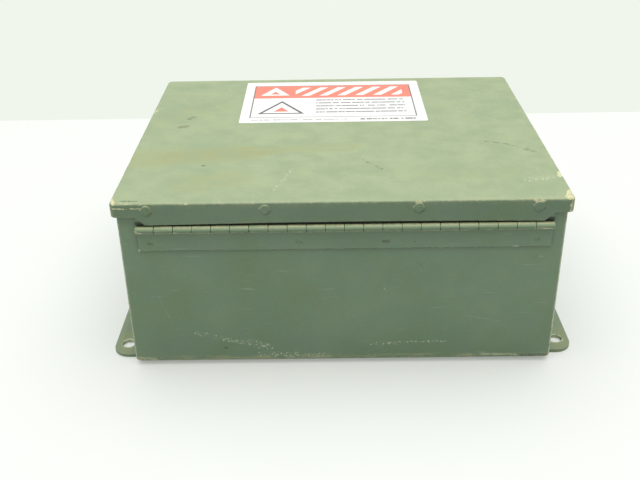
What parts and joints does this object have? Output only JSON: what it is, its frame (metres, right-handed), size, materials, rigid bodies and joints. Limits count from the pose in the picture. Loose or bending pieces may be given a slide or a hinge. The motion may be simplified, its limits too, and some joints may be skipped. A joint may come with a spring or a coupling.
{
  "type": "hinged-cover enclosure with dry-type transformer",
  "caption": "Shallow sheet-steel enclosure with a piano-hinged cover, drilled mounting strips and captive latch bolts, holding a small dry-type transformer on a sub-panel.",
  "frame": {"origin": "centre of the mounting-hole pattern, on the plane that the mounting strips rest on", "axes": "+Z out of the door, +X along the hinge, -Y towards the hinge wall"},
  "size_m": [0.3404, 0.2803, 0.1328],
  "materials": {
    "box_paint": "satin, worn",
    "door_paint": "satin, worn",
    "label_film": "printed vinyl",
    "gasket_foam": "matt",
    "zinc": "zinc plated",
    "panel_white": "gloss",
    "core_steel": "varnished laminations",
    "bobbin_nylon": "moulded",
    "tape_yellow": "wound tape",
    "tape_tan": "wound tape",
    "board_black": "moulded",
    "brass": "bright",
    "fuse_glass": "smooth",
    "fuse_cap": "bright",
    "lug_metal": "cast",
    "lead_black": "insulated lead",
    "lead_red": "insulated lead",
    "lead_green": "insulated lead",
    "pin_steel": "dull"
  },
  "bodies": {
    "box": {"enclosure_body": "box_paint", "mounting_strip_left": "box_paint", "mounting_strip_right": "box_paint", "body_hinge_leaf": "box_paint", "hinge_pin": "pin_steel", "body_latch_lug_left": "box_paint", "body_latch_lug_right": "box_paint", "latch_weld_nuts": "zinc", "panel_studs": "zinc", "sub_panel": "panel_white", "panel_nuts": "zinc", "core_laminations": "core_steel", "coil_bobbin": "bobbin_nylon", "primary_winding": "tape_yellow", "secondary_winding": "tape_tan", "lower_core_angle_left": "zinc", "lower_core_angle_right": "zinc", "upper_core_angle_left": "zinc", "upper_core_angle_right": "zinc", "core_bolts": "zinc", "core_nuts": "zinc", "foot_screws": "zinc", "primary_terminal_board": "board_black", "secondary_terminal_board": "board_black", "primary_terminal_screws": "brass", "secondary_terminal_screws": "brass", "voltage_link": "brass", "fuse_block": "board_black", "fuse_clips": "brass", "fuse_tubes": "fuse_glass", "fuse_caps": "fuse_cap", "fuse_terminal_screws": "brass", "fuse_block_screws": "zinc", "terminal_strip": "board_black", "terminal_strip_screws": "brass", "terminal_strip_fixing_screws": "zinc", "ground_lug": "lug_metal", "ground_lug_screws": "zinc", "primary_lead_left": "lead_black", "primary_lead_right": "lead_black", "secondary_lead_left": "lead_red", "secondary_lead_right": "lead_red", "ground_wire": "lead_green"},
    "door": {"door_panel": "door_paint", "door_hinge_leaf": "box_paint", "hinge_weld_nubs": "box_paint", "door_gasket": "gasket_foam", "hazard_label": "label_film", "door_latch_lug_left": "box_paint", "door_latch_lug_right": "box_paint"},
    "bolt_carrier_left": {"latch_clip_left": "pin_steel"},
    "bolt_left": {"latch_bolt_left": "zinc"},
    "bolt_carrier_right": {"latch_clip_right": "pin_steel"},
    "bolt_right": {"latch_bolt_right": "zinc"}
  },
  "joints": [
    {"name": "door_hinge", "type": "hinge", "parent": "box", "child": "door", "pos_m": [0, -0.1288, 0.1129], "axis": [1, 0, 0], "range_deg": [0, 180]},
    {"name": "bolt_advance_left", "type": "slide", "parent": "door", "child": "bolt_carrier_left", "axis": [0, 0, -1], "range_m": [0, 0.0076]},
    {"name": "bolt_turn_left", "type": "hinge", "parent": "bolt_carrier_left", "child": "bolt_left", "pos_m": [-0.09, 0.1408, 0.1], "axis": [0, 0, -1], "range_deg": [0, 2154.3]},
    {"name": "bolt_advance_right", "type": "slide", "parent": "door", "child": "bolt_carrier_right", "axis": [0, 0, -1], "range_m": [0, 0.0076]},
    {"name": "bolt_turn_right", "type": "hinge", "parent": "bolt_carrier_right", "child": "bolt_right", "pos_m": [0.09, 0.1408, 0.1], "axis": [0, 0, -1], "range_deg": [0, 2154.3]}
  ],
  "couplings": [
    {"joint": "bolt_advance_left", "follows": "bolt_turn_left", "m_per_rad": 0.00020211},
    {"joint": "bolt_advance_right", "follows": "bolt_turn_right", "m_per_rad": 0.00020211}
  ]
}
